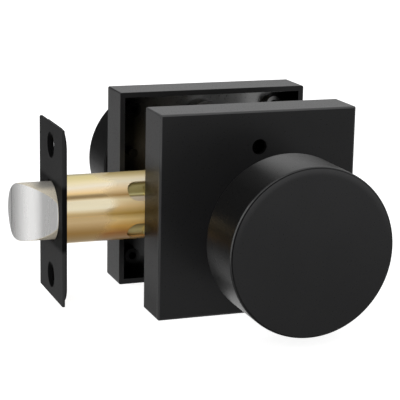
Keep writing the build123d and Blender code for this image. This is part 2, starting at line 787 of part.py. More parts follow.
# Slotted disc across the tube that the bolt spring pushes against, with lugs in the tube's windows
with BuildPart() as spring_seat:
    with BuildSketch(latch.offset(seat_back)):
        Circle(tube_bore - press_gap)
        for middle in window_middles:
            with Locations(Location((0, 0, 0), (0, 0, middle))):
                Rectangle(tube_radius, seat_lug_width, align=(Align.MIN, Align.CENTER))
        with GridLocations(0, 2 * tube_radius, 1, 2):
            Rectangle(2 * (tail_outer + free_gap), 2 * (tube_radius - tail_low + free_gap), mode=Mode.SUBTRACT)
    extrude(amount=seat_thickness)
    with BuildSketch(latch.offset(seat_front)):
        Circle(bolt_spring_diameter / 2 - bolt_spring_wire - free_gap)
    extrude(amount=seat_spigot_length)
spring_seat.part.label = "spring_seat"
export_step(spring_seat.part, "parts/spring_seat.step")

# Compression spring between its seat and the bottom of the bolt's pocket
spring_start = seat_front + bolt_spring_wire / 2 + press_gap
spring_run = bolt_back + bolt_spring_pocket - bolt_spring_wire / 2 - press_gap - spring_start
with BuildPart() as bolt_spring:
    with BuildLine() as coil:
        Helix(
            pitch=spring_run / bolt_spring_turns,
            height=spring_run,
            radius=(bolt_spring_diameter - bolt_spring_wire) / 2,
            center=latch.offset(spring_start).origin,
            direction=latch.z_dir,
        )
    with BuildSketch(Plane(origin=coil.line @ 0, z_dir=coil.line % 0)):
        Circle(bolt_spring_wire / 2)
    sweep(is_frenet=True)
bolt_spring.part.label = "bolt_spring"
export_step(bolt_spring.part, "parts/bolt_spring.step")

# Hub on the spindle, carried in the tube's sides, with two horns that draw the tail back
with BuildPart() as latch_hub:
    with BuildSketch(latch_side):
        Circle(hub_radius)
        for turn in (90 + horn_lean, -90 - horn_lean):
            with Locations(Location((0, 0, 0), (0, 0, turn))):
                with Locations((horn_reach / 2, 0)):
                    SlotCenterToCenter(horn_reach, 2 * horn_tip_radius)
    extrude(amount=hub_thickness / 2, both=True)
    with BuildSketch(latch_side):
        Circle(hub_journal)
    extrude(amount=tube_radius - slide_gap, both=True)
    with BuildSketch(latch_side):
        Rectangle(socket_side, socket_side)
    extrude(amount=tube_diameter, both=True, mode=Mode.SUBTRACT)
latch_hub.part.label = "latch_hub"
export_step(latch_hub.part, "parts/latch_hub.step")
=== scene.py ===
# %% [markdown]
# A privacy door knob set stands on its two square rosettes, as if the door had been taken away from between them.
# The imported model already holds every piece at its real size, so this lesson only dresses it: light, camera,
# finishes, and the small forms that give a plain solid away, such as the threads of the through screws.

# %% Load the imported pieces
import json
from math import radians
import bmesh
import bpy
from mathutils import Matrix, Vector


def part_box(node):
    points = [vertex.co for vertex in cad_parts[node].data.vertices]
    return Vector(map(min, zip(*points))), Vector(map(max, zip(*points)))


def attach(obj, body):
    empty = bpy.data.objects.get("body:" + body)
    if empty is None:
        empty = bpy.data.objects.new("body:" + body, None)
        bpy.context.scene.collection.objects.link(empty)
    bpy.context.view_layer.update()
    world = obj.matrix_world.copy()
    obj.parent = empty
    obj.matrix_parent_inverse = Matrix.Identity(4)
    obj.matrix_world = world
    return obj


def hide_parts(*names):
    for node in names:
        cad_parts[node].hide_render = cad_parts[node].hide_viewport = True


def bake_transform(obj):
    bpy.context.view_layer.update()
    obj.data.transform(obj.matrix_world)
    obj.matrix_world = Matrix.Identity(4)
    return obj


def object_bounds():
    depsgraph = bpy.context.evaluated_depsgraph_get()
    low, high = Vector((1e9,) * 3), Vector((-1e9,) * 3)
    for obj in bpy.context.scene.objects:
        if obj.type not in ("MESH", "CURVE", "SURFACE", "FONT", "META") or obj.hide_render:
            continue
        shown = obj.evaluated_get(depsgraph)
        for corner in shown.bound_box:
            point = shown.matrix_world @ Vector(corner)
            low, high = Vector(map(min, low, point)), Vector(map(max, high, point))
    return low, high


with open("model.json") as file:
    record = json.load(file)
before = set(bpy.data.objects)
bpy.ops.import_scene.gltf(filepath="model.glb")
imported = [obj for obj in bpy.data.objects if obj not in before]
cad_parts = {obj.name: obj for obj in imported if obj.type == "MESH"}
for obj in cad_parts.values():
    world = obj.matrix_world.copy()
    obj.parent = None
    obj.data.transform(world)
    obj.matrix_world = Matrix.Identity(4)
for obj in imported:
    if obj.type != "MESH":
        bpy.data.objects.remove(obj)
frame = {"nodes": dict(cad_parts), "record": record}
pieces = frame["nodes"]
cad_low, cad_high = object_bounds()
print("pieces", len(pieces), "box", [round(v, 4) for v in cad_high - cad_low])

# %% [markdown]
# The camera stands in front of the exterior rosette, to the left and a little above, and looks between the
# rosettes. A long lens keeps the rosettes' edges nearly parallel. Its place and lens were worked out from the edges
# of the two rosettes, and a small roll levels it to the picture.

# %% Camera
camera_place = Vector((-0.1812, -0.4522, 0.1196))
camera_target = Vector((-0.01287, 0.0039, 0.0026))
camera_roll = radians(1.15)
camera_lens = 138.2  # millimetres on a 36 mm sensor

camera = bpy.data.objects.new("camera", bpy.data.cameras.new("camera"))
bpy.context.scene.collection.objects.link(camera)
camera.data.lens = camera_lens
aim = (camera_target - camera_place).to_track_quat("-Z", "Y").to_matrix().to_4x4()
camera.matrix_world = Matrix.Translation(camera_place) @ aim @ Matrix.Rotation(camera_roll, 4, "Z")
bpy.context.scene.camera = camera
bpy.context.scene.view_settings.view_transform = "Standard"
print("camera", round((camera_target - camera_place).length, 4), "m from its target")

# %% [markdown]
# The room and the finishes are node trees, and a few short helpers keep them readable: one adds a node, one splits a
# position into its parts, and the others join, map and blend values.

# %% Helpers for nodes
def node(tree, kind, **values):
    """Adds a shader node and sets its properties and unlinked inputs by name."""
    made = tree.nodes.new(kind)
    for name, value in values.items():
        if name in made.inputs:
            made.inputs[name].default_value = value
        else:
            setattr(made, name, value)
    return made


def parts(tree, position):
    """The X, Y and Z of a position."""
    split = node(tree, "ShaderNodeSeparateXYZ")
    tree.links.new(position, split.inputs["Vector"])
    return [split.outputs[axis] for axis in "XYZ"]


def join(tree, operation, first, second):
    """Two values joined by an operation. The second may be a plain number."""
    made = node(tree, "ShaderNodeMath", operation=operation)
    tree.links.new(first, made.inputs[0])
    if isinstance(second, float):
        made.inputs[1].default_value = second
    else:
        tree.links.new(second, made.inputs[1])
    return made.outputs[0]


def product(tree, first, *others):
    """Several shares multiplied together."""
    for other in others:
        first = join(tree, "MULTIPLY", first, other)
    return first


def ramp(tree, source, *stops):
    """Grey or coloured stops along a value."""
    made = tree.nodes.new("ShaderNodeValToRGB")
    elements = made.color_ramp.elements
    while len(elements) < len(stops):
        elements.new(1.0)
    for element, (position, colour) in zip(elements, stops):
        element.position = position
        element.color = (*colour, 1.0) if isinstance(colour, tuple) else (colour, colour, colour, 1.0)
    tree.links.new(source, made.inputs["Fac"])
    return made.outputs["Color"]


def map_range(tree, source, low, high, to_low=0.0, to_high=1.0, kind="SMOOTHSTEP"):
    """Maps a value from one range to another."""
    made = node(tree, "ShaderNodeMapRange", interpolation_type=kind)
    for name, value in (("From Min", low), ("From Max", high), ("To Min", to_low), ("To Max", to_high)):
        made.inputs[name].default_value = value
    tree.links.new(source, made.inputs["Value"])
    return made.outputs["Result"]


def blend(tree, factor, first, second):
    """Mixes two colours by a factor."""
    made = node(tree, "ShaderNodeMix", data_type="RGBA")
    tree.links.new(factor, made.inputs["Factor"])
    tree.links.new(first, made.inputs["A"])
    tree.links.new(second, made.inputs["B"])
    return made.outputs["Result"]


def mixed(tree, factor, first, second):
    """One shader where the factor is nought, and another where it is one."""
    made = node(tree, "ShaderNodeMixShader")
    tree.links.new(factor, made.inputs["Fac"])
    tree.links.new(first, made.inputs[1])
    tree.links.new(second, made.inputs[2])
    return made.outputs[0]


print("helpers", [made.__name__ for made in (node, parts, join, product, ramp, map_range, blend, mixed)])

# %% [markdown]
# Black and bright metal are seen almost only by what they reflect, so the room is painted for reflected rays. In
# front it is a light wall with a dark gap below the ceiling, and the gap draws the brown line along the latch tube.
# Behind stands a grey sweep. On the left a bright panel lights the bolt's bevel, and the corner behind it is dark.
# Each side is a row of grey levels: by height in front and behind, by bearing on the left. The line where the left
# side begins leans to the right with height, so the knob's round side is dark on its upper left and light below.

# %% Walls of the room
front_levels = [
    (-1.0, 0.26), (-0.94, 0.28), (-0.75, 0.42), (-0.55, 0.52), (-0.3, 0.5), (-0.17, 0.42), (-0.08, 0.55), (0.12, 0.8),
    (0.62, 0.82), (0.71, 0.27), (0.79, 0.27), (0.87, 0.88),
]
back_levels = [
    (-1.0, 0.27), (-0.67, 0.35), (-0.45, 1.0), (-0.3, 1.0), (0.0, 0.5), (0.22, 0.5), (0.5, 0.85), (0.85, 0.88),
]
left_levels = [
    (-0.8, 0.0), (-0.69, 0.0), (-0.62, 0.2), (-0.53, 0.85), (-0.47, 1.0), (-0.2, 1.0), (-0.05, 0.7), (0.2, 0.3),
    (0.5, 0.05),
]
corner_levels = [(-1.0, 0.1), (-0.35, 0.03), (-0.25, 0.02), (0.6, 0.02), (0.85, 0.5)]
front_end, back_start = -0.2, 0.35
panel_end, dark_start = 0.35, 0.75
edge_lean, lean_limit = -0.5, 0.4
edge_right, edge_left = 0.06, -0.24


def band(tree, source, stops):
    """Grey levels along one part of a direction, whose range is -1 to 1."""
    share = map_range(tree, source, -1.0, 1.0, kind="LINEAR")
    return ramp(tree, share, *[((place + 1) / 2, level) for place, level in stops])


room = bpy.data.worlds.new("room")
bpy.context.scene.world = room
room.use_nodes = True
tree = room.node_tree
tree.nodes.clear()
across, along, up = parts(tree, node(tree, "ShaderNodeTexCoord").outputs["Generated"])
left_wall, left_corner = band(tree, along, left_levels), band(tree, up, corner_levels)
front_wall, back_wall = band(tree, up, front_levels), band(tree, up, back_levels)
left_side = blend(tree, map_range(tree, along, panel_end, dark_start), left_wall, left_corner)
far_side = blend(tree, map_range(tree, along, front_end, back_start), front_wall, back_wall)
lean = join(tree, "MULTIPLY", join(tree, "MINIMUM", up, lean_limit), edge_lean)
edge = join(tree, "ADD", lean, across)
walls = blend(tree, map_range(tree, edge, edge_right, edge_left), far_side, left_side)
print("room with", len(front_levels) + len(back_levels) + len(left_levels) + len(corner_levels), "grey levels")

# %% [markdown]
# Reflected rays see the painted walls. Camera rays see plain white in every direction, and all other rays a dim even
# room, which fills the shadows.

# %% Rays in the room
even_grey = (0.4, 0.4, 0.4, 1.0)
plain_white = (1.0, 1.0, 1.0, 1.0)

rays = node(tree, "ShaderNodeLightPath").outputs
painted = node(tree, "ShaderNodeBackground", Strength=1.0)
tree.links.new(walls, painted.inputs["Color"])
even = node(tree, "ShaderNodeBackground", Color=even_grey, Strength=1.0)
white = node(tree, "ShaderNodeBackground", Color=plain_white, Strength=1.0)
lit = mixed(tree, rays["Is Glossy Ray"], even.outputs[0], painted.outputs[0])
seen = mixed(tree, rays["Is Camera Ray"], lit, white.outputs[0])
tree.links.new(seen, node(tree, "ShaderNodeOutputWorld").inputs["Surface"])
print("room nodes", len(tree.nodes))

# %% [markdown]
# The floor is a wide pale sheet under the rosettes' lower edges. It is lit like the rest, so that it carries a faint
# shadow below the knob, and a lift for camera rays brings its lit part to the white of the room. Reflected rays pass
# through it, because the room's own levels already stand for the floor that the metal reflects.

# %% Floor
floor_reach = 6.0
floor_pale = (0.8, 0.8, 0.8, 1.0)
floor_lift = 0.83

sheet = bmesh.new()
bmesh.ops.create_grid(sheet, x_segments=1, y_segments=1, size=floor_reach)
bmesh.ops.translate(sheet, verts=sheet.verts, vec=(0.0, 0.0, cad_low.z))
floor_mesh = bpy.data.meshes.new("floor")
sheet.to_mesh(floor_mesh)
sheet.free()
floor = bpy.data.objects.new("floor", floor_mesh)
bpy.context.scene.collection.objects.link(floor)

pale_floor = bpy.data.materials.new("pale_floor")
pale_floor.use_nodes = True
tree = pale_floor.node_tree
tree.nodes.clear()
rays = node(tree, "ShaderNodeLightPath").outputs
matt = node(tree, "ShaderNodeBsdfDiffuse", Color=floor_pale).outputs[0]
lift = node(tree, "ShaderNodeEmission", Color=plain_white, Strength=floor_lift).outputs[0]
lifted = node(tree, "ShaderNodeAddShader")
tree.links.new(matt, lifted.inputs[0])
tree.links.new(lift, lifted.inputs[1])
seen = mixed(tree, rays["Is Camera Ray"], matt, lifted.outputs[0])
clear = node(tree, "ShaderNodeBsdfTransparent").outputs[0]
open_sheet = mixed(tree, rays["Is Glossy Ray"], seen, clear)
tree.links.new(open_sheet, node(tree, "ShaderNodeOutputMaterial").inputs["Surface"])
floor.data.materials.append(pale_floor)
print("floor at", round(cad_low.z, 4))

# %% [markdown]
# Three soft boxes light the set: a wide one overhead, a strip behind on the left, which throws the bolt's shadow
# towards the camera's side of the faceplate, and a fill in front on the left. They are left out of reflections, where
# the room's painted walls stand for them.

# %% Soft boxes
def soft_box(name, place, aim_at, width, height, power):
    """A rectangular area lamp that faces a point."""
    lamp = bpy.data.lights.new(name, "AREA")
    lamp.shape = "RECTANGLE"
    lamp.size = width
    lamp.size_y = height
    lamp.energy = power
    box = bpy.data.objects.new(name, lamp)
    bpy.context.scene.collection.objects.link(box)
    look = (aim_at - Vector(place)).to_track_quat("-Z", "Y").to_matrix().to_4x4()
    box.matrix_world = Matrix.Translation(Vector(place)) @ look
    box.visible_glossy = False
    return box


middle = (cad_low + cad_high) / 2
boxes = [
    soft_box("overhead_box", (-0.1, -0.05, 0.75), middle, width=0.6, height=0.6, power=1.6),
    soft_box("left_strip", (-0.55, 0.3, 0.05), middle, width=0.2, height=0.4, power=0.45),
    soft_box("camera_fill", (-0.5, -0.85, 0.35), middle, width=0.5, height=0.5, power=3.0),
]
print("soft boxes", [box.name for box in boxes])

# %% [markdown]
# Every finish is worked out in Object coordinates, so it moves with its piece. Noise gives grain and grinding marks,
# a distance from an axis finds round places, and a box finds square ones.

# %% Helpers for finishes
noise_low, noise_high = 0.3, 0.7
# painted black shade, for the rosette's pin hole and the knobs' front hairline
painted_shade_black = (0.001, 0.001, 0.001)


def new_finish(name):
    """An empty material with its shader and its Object coordinates."""
    material = bpy.data.materials.new(name)
    material.use_nodes = True
    tree = material.node_tree
    shader = tree.nodes["Principled BSDF"]
    coords = tree.nodes.new("ShaderNodeTexCoord").outputs["Object"]
    return material, tree, shader, coords


def stretched_noise(tree, coords, scale, stretch=(1.0, 1.0, 1.0), detail=3.0):
    """Noise in Object coordinates, drawn out along an axis where its stretch is small."""
    mapping = node(tree, "ShaderNodeMapping", Scale=stretch)
    tree.links.new(coords, mapping.inputs["Vector"])
    noise = node(tree, "ShaderNodeTexNoise", Scale=scale, Detail=detail)
    tree.links.new(mapping.outputs["Vector"], noise.inputs["Vector"])
    return noise.outputs["Fac"]


def value_range(tree, source, low, high):
    """Maps noise around one half to a range of values."""
    return map_range(tree, source, noise_low, noise_high, low, high, "LINEAR")


def bump(tree, shader, source, strength, distance):
    """Fine relief from a grey pattern."""
    made = node(tree, "ShaderNodeBump", Strength=strength, Distance=distance)
    tree.links.new(source, made.inputs["Height"])
    tree.links.new(made.outputs["Normal"], shader.inputs["Normal"])


def scaled(tree, colour, factor):
    """A colour made lighter or darker by a factor."""
    made = node(tree, "ShaderNodeVectorMath", operation="SCALE")
    tree.links.new(colour, made.inputs[0])
    tree.links.new(factor, made.inputs["Scale"])
    return made.outputs[0]


def plain(tree, colour):
    """One even colour."""
    made = node(tree, "ShaderNodeRGB")
    made.outputs[0].default_value = (*colour, 1.0)
    return made.outputs[0]


def from_axis(tree, coords, centre, keep):
    """Distance from a point, measured only in the directions that are kept."""
    offset = node(tree, "ShaderNodeVectorMath", operation="SUBTRACT")
    tree.links.new(coords, offset.inputs[0])
    offset.inputs[1].default_value = centre
    kept = node(tree, "ShaderNodeVectorMath", operation="MULTIPLY")
    tree.links.new(offset.outputs[0], kept.inputs[0])
    kept.inputs[1].default_value = keep
    length = node(tree, "ShaderNodeVectorMath", operation="LENGTH")
    tree.links.new(kept.outputs[0], length.inputs[0])
    return length.outputs["Value"]


def inside(tree, coords, low, high):
    """One inside a box and nought outside it."""
    tests = []
    for part, least, most in zip(parts(tree, coords), low, high):
        tests.append(join(tree, "GREATER_THAN", part, least))
        tests.append(join(tree, "LESS_THAN", part, most))
    return product(tree, *tests)


print("helpers", [made.__name__ for made in (new_finish, stretched_noise, bump, scaled, plain, from_axis, inside)])

# %% [markdown]
# The coat is a satin black powder coat. Its colour is nearly even, so the eye reads it by its sheen: fine grain left
# by the powder breaks up the reflection, and slow changes of tone keep large flats from looking like plastic.

# %% Satin black coat
cloud_scale, cloud_low, cloud_high = 45.0, 0.35, 0.65
grain_scale = 2400.0
gloss_spread, grain_relief, grain_height = 0.05, 0.12, 0.00003
coat_dark, coat_light = (0.0145, 0.0145, 0.015), (0.0165, 0.0165, 0.017)
coat_gloss, coat_sheen = 0.32, 0.25


def clouded(tree, cloud, dark, light):
    """A tone that drifts between dark and light."""
    return ramp(tree, cloud, (cloud_low, dark), (cloud_high, light))


def satin_black(name, dark=coat_dark, light=coat_light, gloss=coat_gloss, sheen=coat_sheen):
    """Black coat between two tones, with its roughness around a value and its share of reflected light."""
    material, tree, shader, coords = new_finish(name)
    cloud = stretched_noise(tree, coords, cloud_scale, detail=4.0)
    grain = stretched_noise(tree, coords, grain_scale, detail=2.0)
    tone = clouded(tree, cloud, dark, light)
    satin = value_range(tree, grain, gloss - gloss_spread, gloss + gloss_spread)
    tree.links.new(tone, shader.inputs["Base Color"])
    tree.links.new(satin, shader.inputs["Roughness"])
    shader.inputs["Specular IOR Level"].default_value = sheen
    bump(tree, shader, grain, grain_relief, grain_height)
    return material, tree, shader, coords, cloud, tone, satin


black_coat = satin_black("satin_black_coat")[0]
print("finish", black_coat.name)

# %% [markdown]
# The faceplate and its backing are plated dull black. They carry painted light, lighter towards their lower end,
# painted shade in the two screw holes, and a painted shadow of the bolt in a band at the bolt's height.

# %% Dull black plate
plate_dark, plate_light = (0.037, 0.037, 0.0375), (0.042, 0.042, 0.0425)
plate_gloss, plate_sheen = 0.45, 0.02
# painted light on the plate: lighter at its lower end, darker at its top
plate_light_low, plate_light_high = 1.15, 0.75
# painted shadow of the bolt: a darker band across the plate at the bolt's height
bolt_shadow_reach, bolt_shadow_blur, bolt_shadow_tone = 0.0105, 0.001, 0.15
# painted shade in the two screw holes
hole_pitch, hole_reach, hole_blur, hole_shade = 0.0429, 0.005, 0.0001, 0.1
sunk_first, sunk_full = 0.00003, 0.0001


def plate_black(name):
    """Dull black plating, with painted light by height, painted shade in the screw holes and a painted bolt shadow
    beside the bolt.
    """
    material, tree, shader, coords, _, tone, _ = satin_black(name, plate_dark, plate_light, plate_gloss, plate_sheen)
    low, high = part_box("latch_faceplate")
    centre = (low + high) / 2
    x, _, z = parts(tree, coords)
    # painted light: the plate is lighter towards its lower end
    height = map_range(tree, z, low.z, high.z, plate_light_low, plate_light_high, "LINEAR")
    rise = from_axis(tree, coords, centre, (0.0, 0.0, 1.0))
    # painted shadow of the bolt, in a band at its height
    bolt_shadow = map_range(tree, rise, bolt_shadow_reach - bolt_shadow_blur, bolt_shadow_reach + bolt_shadow_blur, bolt_shadow_tone, 1.0)
    sunk = map_range(tree, x, low.x + sunk_first, low.x + sunk_full)
    shades = [height, bolt_shadow]
    # painted shade in the two screw holes, below the face
    for side in (-1.0, 1.0):
        hole = centre + Vector((0.0, 0.0, side * hole_pitch / 2))
        reach = from_axis(tree, coords, hole, (0.0, 1.0, 1.0))
        shaded_hole = product(tree, map_range(tree, reach, hole_reach + hole_blur, hole_reach), sunk)
        shades.append(map_range(tree, shaded_hole, 0.0, 1.0, 1.0, hole_shade, "LINEAR"))
    tree.links.new(scaled(tree, tone, product(tree, *shades)), shader.inputs["Base Color"])
    return material


black_plate = plate_black("dull_black_plate")
print("finish", black_plate.name)

# %% [markdown]
# The rosettes carry the same coat. Their side walls are painted lighter than the coat, as painted light, with a
# painted highlight along their front corner. Hardly any coat reaches the hollow behind, where the bare dark cast
# metal shows, with painted light in bands across it, and the pin hole is painted black as shade. The exterior
# rosette's left wall carries the tube's painted shade: it is dark beside the tube and towards its lower edge.

# %% Coat of the rosettes
rosette_wall, rosette_face, hollow_share = 0.0018, 0.0022, 0.98
# painted light: the side walls are lighter than the coat
wall_lit_dark, wall_lit_light = (0.073, 0.073, 0.074), (0.083, 0.083, 0.084)
# painted light in bands across the bare metal of the interior rosette's hollow
hollow_light_stops = [
    (0.05, 0.008), (0.13, 0.01), (0.2, 0.1), (0.27, 0.2), (0.37, 0.34), (0.5, 0.42), (0.6, 0.36), (0.7, 0.32),
    (0.77, 0.45), (0.83, 0.4), (0.87, 0.25), (0.905, 0.02),
]
shaded_hollow = [(0.2, 0.04), (0.8, 0.05)]
# painted shade of the latch tube on the exterior rosette's left wall, and towards its lower edge
wall_shade_stops = [
    (0.0, 0.0), (0.08, 0.02), (0.155, 0.35), (0.215, 0.5), (0.31, 0.55), (0.37, 0.25), (0.43, 0.02), (0.49, 0.1),
    (0.55, 0.0), (0.62, 0.0), (0.68, 0.0), (0.73, 0.6), (0.79, 1.0),
]
unshaded_wall = [(0.0, 1.0), (1.0, 1.0)]
wall_left, wall_right = 0.04, 0.2
# painted highlight along the walls' front corner
corner_first, corner_full, corner_highlight = 0.002, 0.0011, 0.6
beyond, slack = Vector((0.0, 1.0, 0.0)), Vector((0.0, 0.0001, 0.0))


def rosette_coat(name, piece_name, face_side, hollow_light_tones, wall_shade_tones, rim, hole_rise=0.0, hole_radius=0.0):
    """Black coat on a rosette, with painted light on its side walls, bare dark metal with painted light in its
    hollow, and painted black shade in its pin hole.
    """
    material, tree, shader, coords, cloud, tone, satin = satin_black(name)
    low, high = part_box(piece_name)
    x, y, z = parts(tree, coords)
    edge = Vector((rim, 0.0, rim))
    faces = inside(tree, coords, low + edge - beyond, high - edge + beyond)
    hollow_edge = Vector((hollow_share * rosette_wall, 0.0, hollow_share * rosette_wall))
    front, back = (rosette_face, 0.0) if face_side < 0 else (0.0, rosette_face)
    hollow_low = low + hollow_edge + Vector((0.0, front, 0.0)) - slack
    hollow_high = high - hollow_edge - Vector((0.0, back, 0.0)) + slack
    hollow = inside(tree, coords, hollow_low, hollow_high)
    hole_low = Vector((-hole_radius, low.y + rosette_wall / 4, hole_rise - hole_radius))
    hole_high = Vector((hole_radius, high.y, hole_rise + hole_radius))
    hole = inside(tree, coords, hole_low, hole_high)
    tree.links.new(join(tree, "MAXIMUM", hole, satin), shader.inputs["Roughness"])
    reach = map_range(tree, x, low.x, high.x, kind="LINEAR")
    height = map_range(tree, z, low.z, high.z, kind="LINEAR")
    # painted shade of the latch tube and towards the lower edge, on the exterior rosette's left wall
    wall_shading = join(tree, "MAXIMUM", ramp(tree, height, *wall_shade_tones), map_range(tree, reach, wall_left, wall_right))
    # painted highlight along the walls' front corner
    corner = map_range(tree, y, low.y + corner_first, low.y + corner_full, 0.0, corner_highlight)
    # painted light: the side walls are lighter than the coat, as if lit
    lit_wall = clouded(tree, cloud, wall_lit_dark, wall_lit_light)
    wall = scaled(tree, lit_wall, join(tree, "MAXIMUM", wall_shading, corner))
    coated = blend(tree, faces, wall, tone)
    # bare dark metal in the hollow, with painted light in bands across it
    lined = blend(tree, hollow, coated, ramp(tree, reach, *hollow_light_tones))
    # painted black shade in the pin hole
    tree.links.new(blend(tree, hole, lined, plain(tree, painted_shade_black)), shader.inputs["Base Color"])
    tree.links.new(hollow, shader.inputs["Metallic"])
    return material


piece_finishes = {
    "exterior_rosette": rosette_coat(
        "exterior_rosette_coat", "exterior_rosette", -1, shaded_hollow, wall_shade_stops, rim=0.0006,
        hole_rise=0.0232, hole_radius=0.00255
    ),
    "interior_rosette": rosette_coat(
        "interior_rosette_coat", "interior_rosette", 1, hollow_light_stops, unshaded_wall, rim=0.0001
    ),
}
print("coats", [made.name for made in piece_finishes.values()])

# %% [markdown]
# The knobs carry the same coat, with painted light and shade on it. Their face is painted lighter towards the top.
# Their round side is painted lighter on the lower half and darker above the middle, with a painted highlight on top
# that grows towards the back. A dark hairline of painted shade runs round the front corner, with a pale ring of
# painted sheen inside it on the upper half, and the rim's upper left carries a painted highlight on the exterior knob
# and painted shade on the interior one.

# %% Coat of the knobs
knob_rim, knob_depth = 0.0008, 0.0205
# painted light: the knob's face is lighter towards the top
face_light_low, face_light_high = 0.75, 1.35
face_end, side_start = 0.6, 1.0
# painted light and shade on the knob's round side, by height
side_shading_stops = [
    (0.0, 0.02), (0.3, 0.02), (0.47, 0.02), (0.58, 0.006), (0.66, 0.008), (0.86, 0.009), (0.94, 0.016), (1.0, 0.02),
]
# painted highlight on top of the knob, stronger towards the back
crown_highlight_stops = [(0.0, 0.04), (1.0, 0.13)]
crown_first = 0.93
# painted shade: a dark hairline at the knob's front corner
shade_hairline_stops = [(0.02, 0.0), (0.05, 1.0), (0.16, 1.0), (0.27, 0.0)]
# painted rim tone on the knobs' upper left: a highlight on the exterior knob, shade on the interior one
left_rim_stops = [(0.3, 0.0), (0.42, 1.0), (0.75, 1.0), (1.0, 0.0)]
left_rim_inner, left_rim_outer = 0.68, 0.84
left_rim_low, left_rim_high, left_rim_spread = 0.4, 0.6, 1.1
# painted sheen: a pale ring inside the knob face's upper rim
painted_sheen_pale, ring_inner, ring_outer = (0.045, 0.045, 0.046), 0.0028, 0.0008
ring_low, ring_high = 0.5, 1.0


def knob_coat(name, piece_name, face_side, painted_shading):
    """Black coat on a knob, with painted light and shade on its face and round side, a painted dark hairline at its
    front corner and a painted tone on its upper left rim.
    """
    material, tree, shader, coords, cloud, tone, _ = satin_black(name)
    low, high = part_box(piece_name)
    front = low.y if face_side < 0 else high.y
    x, y, z = parts(tree, coords)
    level = map_range(tree, z, low.z, high.z, kind="LINEAR")
    rim_depth = map_range(tree, y, front, front - face_side * knob_rim, kind="LINEAR")
    back = map_range(tree, y, front, front - face_side * knob_depth, kind="LINEAR")
    # painted light: the face is lighter towards the top
    shaded_face = scaled(tree, tone, map_range(tree, level, 0.0, 1.0, face_light_low, face_light_high, "LINEAR"))
    radius = from_axis(tree, coords, (0.0, 0.0, 0.0), (1.0, 0.0, 1.0))
    # painted sheen: a pale ring inside the front corner on the upper half
    outer = map_range(tree, radius, high.z - ring_inner, high.z - ring_outer)
    sheen_ring = product(tree, outer, map_range(tree, level, ring_low, ring_high))
    face = blend(tree, sheen_ring, shaded_face, plain(tree, painted_sheen_pale))
    # painted highlight on top of the round side, stronger towards the back
    crown_highlight = map_range(tree, level, crown_first, 1.0)
    # painted light and shade on the round side by height
    round_side = blend(tree, crown_highlight, ramp(tree, level, *side_shading_stops), ramp(tree, back, *crown_highlight_stops))
    coated = blend(tree, map_range(tree, rim_depth, face_end, side_start), face, round_side)
    # painted shade: a dark hairline at the front corner
    lined = blend(tree, ramp(tree, rim_depth, *shade_hairline_stops), coated, plain(tree, painted_shade_black))
    # painted rim tone on the upper left: a highlight on the exterior knob, shade on the interior one
    left = map_range(tree, x, left_rim_inner * low.x, left_rim_outer * low.x)
    upper = map_range(tree, level, left_rim_low, left_rim_high)
    corner = product(tree, ramp(tree, rim_depth, *left_rim_stops), left, upper)
    painted_rim = clouded(tree, cloud, painted_shading, left_rim_spread * painted_shading)
    tree.links.new(blend(tree, corner, lined, painted_rim), shader.inputs["Base Color"])
    return material


piece_finishes["exterior_knob"] = knob_coat("exterior_knob_coat", "exterior_knob", -1, painted_shading=0.1)
piece_finishes["interior_knob"] = knob_coat("interior_knob_coat", "interior_knob", 1, painted_shading=0.001)
print("knobs", [piece_finishes[name].name for name in ("exterior_knob", "interior_knob")])

# %% [markdown]
# The latch tube is steel with a yellow chromate finish: a thin film over bright zinc. Its yellow shifts in bands
# round the tube by height, from straw to orange and cream, as painted reflections, and a slow drift, drawn out along
# the tube, wavers their edges. Fine draw marks run the same way. Round the windows, where the sheet was punched
# before it was plated, the film is thick and almost matt, and its painted bands of light and shade are stronger.

# %% Yellow zinc
tube_low, tube_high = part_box("latch_tube")
matt_first, matt_span, matt_width = -0.05, 0.014, 0.0045
drift_scale, drift_stretch, film_drift = 90.0, (0.25, 1.0, 1.0), 0.02
draw_scale, draw_stretch, draw_gloss = 3000.0, (0.02, 1.0, 1.0), (0.1, 0.16)
draw_relief, draw_height = 0.04, 0.00002
# the film's yellow with painted reflection bands by height
film_and_reflection_stops = [
    (0.0, (0.84, 0.7, 0.44)), (0.05, (0.86, 0.64, 0.34)), (0.25, (0.93, 0.54, 0.17)), (0.42, (0.95, 0.68, 0.35)),
    (0.54, (0.95, 0.68, 0.32)), (0.61, (0.96, 0.86, 0.62)), (0.71, (0.96, 0.85, 0.6)), (0.75, (0.95, 0.67, 0.32)),
    (0.81, (0.95, 0.68, 0.34)), (0.88, (0.96, 0.86, 0.67)), (0.93, (0.95, 0.82, 0.52)), (0.97, (0.82, 0.7, 0.36)),
    (1.0, (0.76, 0.64, 0.28)),
]
# the thick matt film with painted bands of light and shade by height
thick_film_light_stops = [
    (0.0, (0.5, 0.35, 0.16)), (0.1, (0.6, 0.33, 0.11)), (0.21, (0.48, 0.2, 0.04)), (0.33, (0.8, 0.45, 0.11)),
    (0.43, (0.93, 0.66, 0.27)), (0.52, (0.52, 0.32, 0.07)), (0.61, (0.84, 0.58, 0.26)), (0.7, (0.96, 0.78, 0.46)),
    (0.76, (0.45, 0.27, 0.09)), (0.83, (0.95, 0.7, 0.38)), (0.91, (0.96, 0.85, 0.62)), (0.96, (0.95, 0.8, 0.5)),
    (1.0, (0.72, 0.56, 0.26)),
]
onset_stops = [
    (0.0, 0.1), (0.2, 0.1), (0.25, 0.25), (0.33, 0.21), (0.41, 0.34), (0.52, 0.2), (0.57, 0.3), (0.63, 0.44),
    (0.7, 0.42), (0.75, 0.32), (0.83, 0.21), (0.88, 0.43), (0.93, 0.5), (0.97, 0.2), (1.0, 0.1),
]


